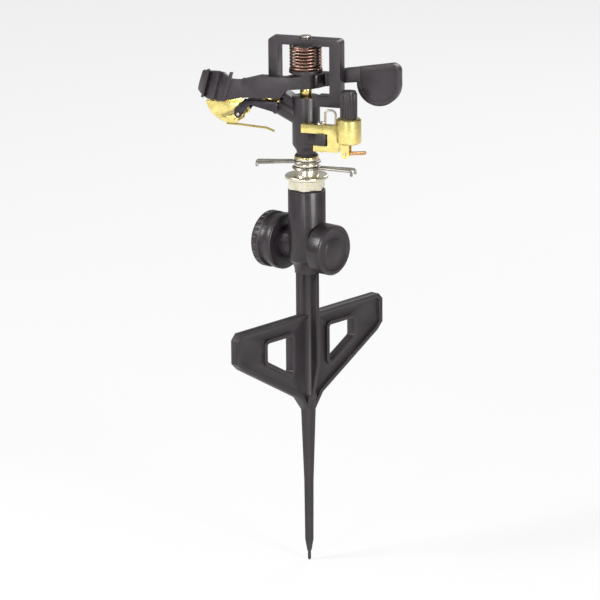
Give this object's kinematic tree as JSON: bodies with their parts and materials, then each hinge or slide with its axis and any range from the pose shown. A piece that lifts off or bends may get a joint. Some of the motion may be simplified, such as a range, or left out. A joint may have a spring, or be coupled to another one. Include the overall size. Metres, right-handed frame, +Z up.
{
  "type": "spike impact sprinkler",
  "caption": "Part-circle impact sprinkler head on an in-line tee and a moulded ground spike with step wings.",
  "frame": {"origin": "tip of the ground spike, on the riser's axis", "axes": "+Z up along the riser; +X towards the end cap, so -X is the hose inlet; the wings reach along Y"},
  "size_m": [0.1451, 0.165, 0.4002],
  "materials": {
    "black_plastic": "satin moulded",
    "black_rubber": "matte",
    "white_plastic": "matte",
    "zinc": "plated, satin",
    "brass": "turned",
    "gold_plate": "yellow zinc plate",
    "copper": "phosphor bronze strip",
    "steel": "drawn wire",
    "dark_steel": "dark"
  },
  "bodies": {
    "base": {"stake": "black_plastic", "inline_tee": "black_plastic", "bearing_nipple": "zinc", "nipple_gasket": "black_rubber", "bearing_spring": "steel"},
    "coupling": {"hose_coupling": "black_plastic", "hose_washer": "black_rubber"},
    "cap": {"end_cap": "black_plastic", "end_cap_washer": "black_rubber"},
    "low_stop": {"arc_stop_low": "steel"},
    "high_stop": {"arc_stop_high": "steel"},
    "head": {"sprinkler_body": "black_plastic", "bearing_tube": "brass", "lower_thrust_washer": "white_plastic", "upper_thrust_washer": "brass", "seal_washer": "black_rubber", "nozzle": "brass", "flap_bracket": "dark_steel", "flap_pivot": "steel", "fulcrum_pin": "steel", "hub_sleeve": "brass", "spring_cap": "black_plastic", "trip_pivot": "steel"},
    "arm": {"impact_arm": "black_plastic", "arm_bushing": "brass", "arm_spring": "steel"},
    "flap": {"distance_flap": "gold_plate", "flap_handle": "steel"},
    "trip": {"trip_lever": "gold_plate", "trip_head": "black_plastic", "trip_spring": "steel", "finger_pin": "steel"},
    "finger": {"trip_finger": "copper"}
  },
  "joints": [
    {"name": "head_turn", "type": "hinge", "parent": "base", "child": "head", "pos_m": [0, 0, 0.3], "axis": [0, 0, 1], "continuous": true},
    {"name": "arm_swing", "type": "hinge", "parent": "head", "child": "arm", "pos_m": [0, 0, 0.366], "axis": [0, 0, 1], "range_deg": [0, 90], "stiffness_Nm_per_rad": 0.01, "springref_deg": -17.19},
    {"name": "trip_swing", "type": "hinge", "parent": "head", "child": "trip", "pos_m": [0.02045, -0.00684, 0.327], "axis": [0, 0, 1], "range_deg": [0, 14]},
    {"name": "finger_flip", "type": "hinge", "parent": "trip", "child": "finger", "pos_m": [0.03788, 0.00021, 0.317], "axis": [-0.3746, 0.9272, 0], "range_deg": [0, 90]},
    {"name": "flap_tilt", "type": "hinge", "parent": "head", "child": "flap", "pos_m": [-0.0459, -0.01854, 0.3404], "axis": [0.3746, -0.9272, 0], "range_deg": [0, 18]},
    {"name": "low_stop_turn", "type": "hinge", "parent": "base", "child": "low_stop", "pos_m": [0, 0, 0.3015], "axis": [0, 0, 1], "continuous": true},
    {"name": "high_stop_turn", "type": "hinge", "parent": "base", "child": "high_stop", "pos_m": [0, 0, 0.306], "axis": [0, 0, 1], "continuous": true},
    {"name": "coupling_turn", "type": "hinge", "parent": "base", "child": "coupling", "pos_m": [-0.025, 0, 0.2423], "axis": [1, 0, 0], "continuous": true},
    {"name": "cap_unscrew", "type": "slide", "parent": "base", "child": "cap", "axis": [1, 0, 0], "range_m": [0, 0.014]}
  ]
}
